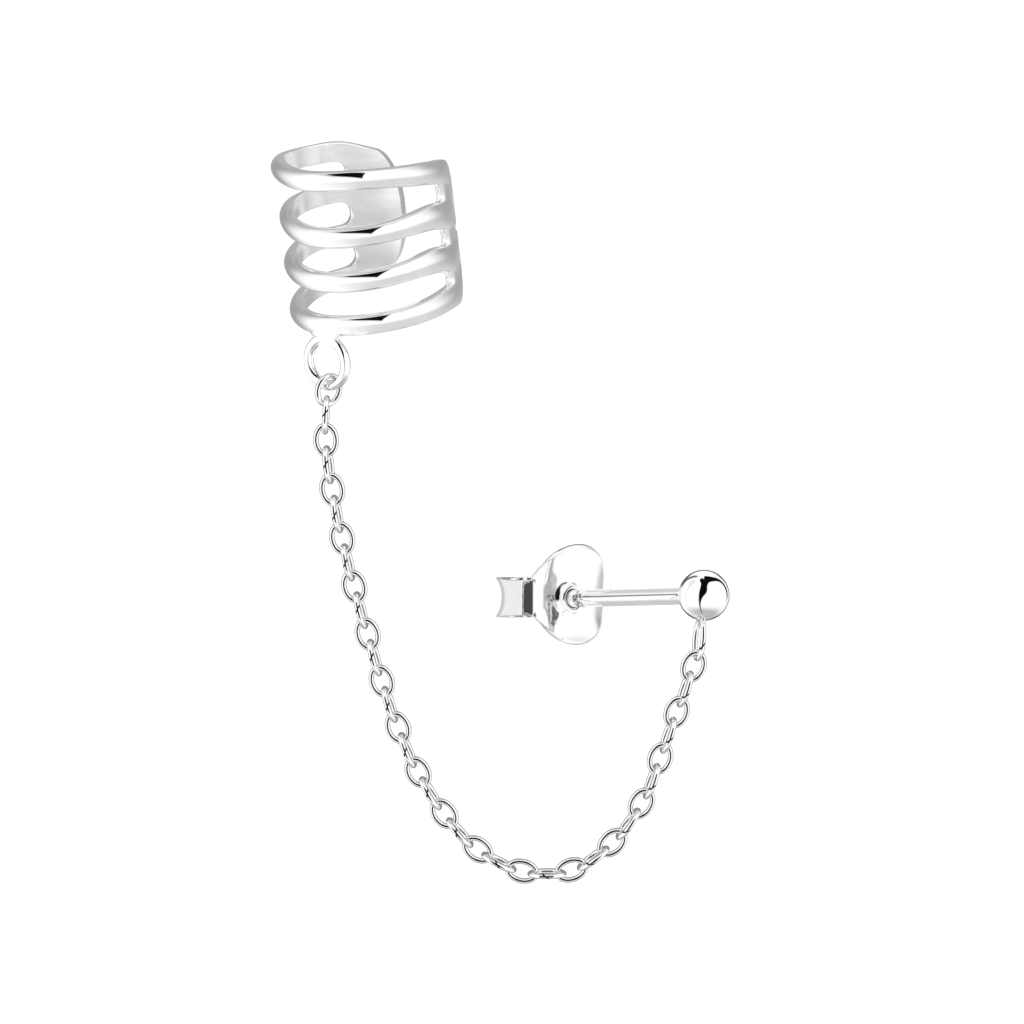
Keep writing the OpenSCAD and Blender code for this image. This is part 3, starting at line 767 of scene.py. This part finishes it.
def silver(name, roughness=0.05, tint=0.93, grain=(1, 1, 1), relief=0.02, depth=0.00002, dark=0.96):
    """Silver whose fine grain shows in its gloss, its relief and its tint, down to the share dark of it."""
    material = bpy.data.materials.new(name)
    material.use_nodes = True
    g = Graph(material.node_tree)
    shader = g.tree.nodes["Principled BSDF"]
    shader.inputs["Metallic"].default_value = 1
    coords, stretch, noise = (g.node("ShaderNode" + kind) for kind in ("TexCoord", "Mapping", "TexNoise"))
    stretch.inputs["Scale"].default_value = grain
    noise.inputs["Scale"].default_value = GRAIN_SCALE
    noise.inputs["Detail"].default_value = GRAIN_DETAIL
    g.put(stretch.inputs["Vector"], coords.outputs["Object"])
    g.put(noise.inputs["Vector"], stretch.outputs["Vector"])
    fine = noise.outputs["Fac"]
    g.put(shader.inputs["Roughness"], g.ramp(fine, 0.0, 1.0, roughness * 0.7, roughness * 1.4, "LINEAR"))
    colour = g.node("ShaderNodeMix", data_type="RGBA")
    colour.inputs[MIX_LIGHT].default_value = grey(tint)
    colour.inputs[MIX_DARK].default_value = grey(tint * dark)
    g.put(colour.inputs[0], g.ramp(fine, GRAIN_START, GRAIN_END, kind="LINEAR"))
    g.put(shader.inputs["Base Color"], colour.outputs[MIX_RESULT])
    bump = g.node("ShaderNodeBump")
    bump.inputs["Strength"].default_value = relief
    bump.inputs["Distance"].default_value = depth
    g.put(bump.inputs["Height"], fine)
    g.put(shader.inputs["Normal"], bump.outputs["Normal"])
    return material


polished = silver("silver_polished")
brushed = silver("silver_brushed", 0.2, 0.95, (1, 1, 9), 0.3)
satin = silver("silver_satin", 0.2, 0.98, (1, 1, 3), 0.06)
worn = silver("silver_worn", 0.2, 0.85, (7, 7, 7), 0.7, 0.0001, 0.2)
# Near-black painted shade that stands in for the shadow in the links' butt seams
seam_painted_shade = silver("silver_seam_painted_shade", 0.5, 0.02)

# Pieces and their materials
bands, eye, solder = build_bands(), build_eye(), build_solder()
chain = build_chain()
ball, post, loop = build_ball(), build_post(), build_loop()
chain.append(loop)
plate, collar = build_plate(), build_collar()
curls = [build_curl("nut_curl_a", 1), build_curl("nut_curl_b", -1)]
for piece in [bands, eye, solder, *chain, ball, post, plate, collar, *curls]:
    piece.data.materials.append(polished)
bands.data.materials.append(brushed)
bands.data.materials.append(satin)
# Each link's second slot holds the seam's painted shade
for piece in chain:
    piece.data.materials.append(seam_painted_shade)
post.data.materials.append(worn)
WORN_START, WORN_END = GROOVE_START - 0.3, GROOVE_START + 0.35
for face in post.data.polygons:
    # The stretch in front of the nut is worn at its front and underside
    along = (np.array(face.center) / MM - BALL) @ POST_WAY
    face.material_index = int(WORN_START < along < WORN_END and face.normal.y < -0.1 and face.normal.z < 0.6)

# Stage, lights and camera, in metres
FLOOR_Z, FLOOR_R = -0.25, 8
bpy.ops.mesh.primitive_circle_add(vertices=96, radius=FLOOR_R, fill_type="NGON", location=(0, 0, FLOOR_Z))
floor = bpy.context.object
floor.name = "floor"
floor.visible_glossy = False
pale = bpy.data.materials.new("floor_pale")
pale.use_nodes = True
pale.node_tree.nodes["Principled BSDF"].inputs["Base Color"].default_value = grey(0.92)
pale.node_tree.nodes["Principled BSDF"].inputs["Roughness"].default_value = 0.9
floor.data.materials.append(pale)

# Strengths of the tents' white and of their darkest gaps
WHITE, BLACK = 1.12, 0.004


def sky_angles(g, coords):
    """Azimuth (0 towards the camera's side, + to its right) and height of a direction, in degrees."""
    parts = g.node("ShaderNodeSeparateXYZ")
    g.tree.links.new(coords, parts.inputs[0])
    x, y, z = parts.outputs
    degrees = 180 / math.pi
    azimuth = g.math("MULTIPLY", g.math("ARCTAN2", x, g.math("MULTIPLY", y, -1.0)), degrees)
    return azimuth, g.math("MULTIPLY", g.math("ARCSINE", z), degrees)


def by_height(g, height, rows):
    """A value that follows a few (height, value) rows."""
    low = min(v for _, v in rows)
    span = max(v for _, v in rows) - low
    share = g.math("DIVIDE", g.math("ADD", height, 90.0), 180.0, clamped=True)
    curve = g.curve(share, [((e + 90) / 180, (v - low) / span) for e, v in rows])
    return g.math("ADD", g.math("MULTIPLY", curve, span), low)


def strip(g, azimuth, height, rows, soft):
    """1 between a left and a right edge that follow (height, left, right) rows."""
    left = by_height(g, height, [(e, a) for e, a, _ in rows])
    right = by_height(g, height, [(e, b) for e, _, b in rows])
    inside = g.ramp(g.math("SUBTRACT", azimuth, left), -soft, soft)
    return g.both(inside, g.ramp(g.math("SUBTRACT", right, azimuth), -soft, soft))


def patch(g, light, strength, azimuth, across, height, rise):
    """The light, but strength in the window that across and rise give for azimuth and height."""
    return g.mix(g.both(g.window(azimuth, *across), g.window(height, *rise)), light, strength)


def cuff_tent(g, azimuth, height):
    """White, with a dark slot overhead, grey sides towards the back and a light grey table."""
    rim = [(-180, 66), (-150, 64), (-120, 61), (-90, 62), (-60, 58), (-30, 52), (-10, 41), (2, 27)]
    share = g.math("DIVIDE", g.math("ADD", azimuth, 180.0), 182.0, clamped=True)
    edge = g.math("MULTIPLY", g.curve(share, [((a + 180) / 182, e / 90) for a, e in rim]), 90.0)
    above = g.math("SUBTRACT", height, edge)
    side = g.both(g.ramp(azimuth, -168.0, -150.0), g.ramp(azimuth, 1.0, 2.6, 1.0, 0.0))
    left = g.both(g.ramp(azimuth, -92.0, -140.0), g.window(height, -60.0, -22.0, 30.0, 66.0))
    right = g.both(g.ramp(azimuth, 74.0, 132.0), g.window(height, -50.0, 4.0, 30.0, 75.0))
    table = g.both(g.ramp(height, 8.0, -12.0), g.ramp(azimuth, -65.0, 15.0))
    behind = g.ramp(g.math("ABSOLUTE", azimuth), 150.0, 180.0)
    back = g.both(behind, g.window(height, -70.0, -30.0, 40.0, 70.0))
    light = g.mix(table, WHITE, 0.76)
    light = g.mix(left, light, 0.40)
    light = g.mix(right, light, 0.42)
    light = g.mix(back, light, 0.50)
    light = g.mix(g.both(g.ramp(above, -11.0, 0.0), side), light, 0.62)
    return g.mix(g.both(g.ramp(above, -1.0, 1.5), side), light, BLACK)


def ball_tent(g, azimuth, height):
    """White, with a dark gap in front that runs over the top and down the right back."""
    front = [
        (-90, -21, -19), (-62, -22, -17), (-30, -24, -17), (0, -25, -10), (30, -26, 13), (58, -28, 26),
        (70, -40, 70), (78, -150, 90), (90, -180, 90),
    ]
    back = [
        (-90, 128, 129), (-25, 126, 128), (-10, 122, 133), (30, 119, 135), (48, 106, 136), (62, 84, 150),
        (74, 40, 178), (90, 20, 178),
    ]
    light = g.mix(g.ramp(height, -32.0, -62.0), WHITE, g.mix(g.ramp(azimuth, -140.0, -40.0), 0.78, 0.54))
    light = patch(
        g, light, 0.14, azimuth, (-156.0, -147.0, -141.0, -132.0), height, (-25.0, -8.0, 50.0, 66.0)
    )
    behind = g.ramp(g.math("ABSOLUTE", azimuth), 142.0, 156.0)
    light = g.mix(g.both(behind, g.window(height, -60.0, -40.0, 12.0, 22.0)), light, 0.07)
    light = g.mix(strip(g, azimuth, height, front, 2.0), light, BLACK)
    return g.mix(strip(g, azimuth, height, back, 3.0), light, 0.006)


def link_tent(g, azimuth, height):
    """White, with a dark gap in front and grey behind."""
    light = g.mix(g.ramp(g.math("ABSOLUTE", azimuth), 88.0, 128.0), WHITE, 0.28)
    light = g.mix(g.ramp(height, -40.0, -75.0), light, 0.42)
    light = g.mix(g.ramp(height, 50.0, 80.0), light, 0.46)
    return patch(g, light, BLACK, azimuth, (-34.0, -27.0, 22.0, 29.0), height, (-40.0, -32.0, 30.0, 38.0))


def post_tent(g, azimuth, height):
    """White, with a narrow dark gap at the left and light grey above, below and at the right."""
    light = g.mix(g.ramp(height, -22.0, -46.0), WHITE, 0.64)
    light = g.mix(g.ramp(height, 18.0, 32.0), light, 0.68)
    right = g.window(azimuth, -25.0, -8.0, 92.0, 104.0)
    light = g.mix(right, light, g.mix(g.ramp(height, -6.0, 14.0), 0.85, 0.55))
    return patch(g, light, 0.22, azimuth, (-104.0, -99.0, -95.0, -91.0), height, (-12.0, -2.0, 12.0, 20.0))


def nut_tent(g, azimuth, height):
    """White, with a dark gap at the left of the front and grey behind, darker high up."""
    light = g.mix(g.both(g.ramp(height, -18.0, -45.0), g.ramp(azimuth, 40.0, -20.0)), WHITE, 0.66)
    left = g.both(g.ramp(height, -17.0, -12.0), g.window(azimuth, -120.0, -100.0, -80.0, -66.0))
    light = g.mix(left, light, 0.92)
    high = g.math("MULTIPLY", g.math("MAXIMUM", height, 0.0), 0.5)
    behind = g.ramp(g.math("SUBTRACT", g.math("ABSOLUTE", azimuth), high), 98.0, 122.0)
    light = g.mix(behind, light, g.mix(g.ramp(height, -4.0, 18.0), 0.62, 0.34))
    return patch(g, light, 0.07, azimuth, (-66.0, -56.0, -42.0, -26.0), height, (-60.0, -40.0, 30.0, 50.0))


def collar_tent(g, azimuth, height):
    """White, but dark on the side that the nut's plate mirrors."""
    light = g.mix(g.ramp(g.math("ABSOLUTE", azimuth), 150.0, 175.0), WHITE, 0.3)
    return patch(g, light, 0.01, azimuth, (-40.0, -20.0, 96.0, 104.0), height, (2.0, 14.0, 44.0, 62.0))


def build_tent(name, radius, lit, tent):
    """A glowing shell that only the given pieces mirror; rays pass through it to the next one."""
    bpy.ops.mesh.primitive_uv_sphere_add(segments=48, ring_count=24, radius=radius)
    shell = bpy.context.object
    shell.name = name
    material = bpy.data.materials.new(name)
    material.use_nodes = True
    material.node_tree.nodes.clear()
    g = Graph(material.node_tree)
    coords = g.node("ShaderNodeTexCoord")
    straight = g.node("ShaderNodeVectorMath", operation="NORMALIZE")
    g.put(straight.inputs[0], coords.outputs["Object"])
    emission, clear = g.node("ShaderNodeEmission"), g.node("ShaderNodeBsdfTransparent")
    g.put(emission.inputs["Strength"], tent(g, *sky_angles(g, straight.outputs[0])))
    added, output = g.node("ShaderNodeAddShader"), g.node("ShaderNodeOutputMaterial")
    g.put(added.inputs[0], emission.outputs[0])
    g.put(added.inputs[1], clear.outputs[0])
    g.put(output.inputs["Surface"], added.outputs[0])
    material.cycles.emission_sampling = "NONE"
    shell.data.materials.append(material)
    shell.visible_camera = shell.visible_diffuse = shell.visible_shadow = shell.visible_transmission = False
    lit_pieces = bpy.data.collections.new(name + "_lit")
    for piece in lit:
        lit_pieces.objects.link(piece)
    shell.light_linking.receiver_collection = lit_pieces


def build_world():
    """Even white light for the floor and the background; the pieces mirror the tents."""
    world = bpy.data.worlds.new("studio")
    bpy.context.scene.world = world
    world.use_nodes = True
    g = Graph(world.node_tree)
    path = g.node("ShaderNodeLightPath")
    background = world.node_tree.nodes["Background"]
    g.put(background.inputs["Strength"], g.mix(path.outputs["Is Glossy Ray"], 1.0, 0.0))
    background.inputs["Color"].default_value = grey(1)
    lamp = bpy.data.lights.new("floor_light", "SUN")
    lamp.energy = 0.9
    lamp.angle = math.radians(60)
    sun = bpy.data.objects.new("floor_light", lamp)
    sun.visible_glossy = False
    bpy.context.scene.collection.objects.link(sun)


build_world()
# Each tent has a radius of its own, in metres, so that no two of them touch
build_tent("tent_cuff", 2.0, [bands, solder], cuff_tent)
build_tent("tent_chain", 2.1, chain, link_tent)
build_tent("tent_ball", 2.2, [ball, eye], ball_tent)
build_tent("tent_post", 2.3, [post], post_tent)
build_tent("tent_nut", 2.4, [plate, *curls], nut_tent)
build_tent("tent_collar", 2.5, [collar], collar_tent)

# The camera looks down at the middle of the photograph; these are in millimetres and degrees
TARGET = np.array([7.007, -3.14, -13.331])
VIEW_DOWN, VIEW_DISTANCE = 14.5, 277.5
VIEW = np.array([0, cosd(VIEW_DOWN), -sind(VIEW_DOWN)])
camera_data = bpy.data.cameras.new("camera")
camera_data.lens = 200
camera_data.sensor_width = 36
camera_data.clip_start = 0.01
camera_data.clip_end = 50
camera = bpy.data.objects.new("camera", camera_data)
camera.location = Vector((TARGET - VIEW * VIEW_DISTANCE) * MM)
camera.rotation_euler = (math.radians(90 - VIEW_DOWN), 0, 0)
bpy.context.scene.collection.objects.link(camera)
bpy.context.scene.camera = camera
bpy.context.scene.view_settings.view_transform = "Standard"
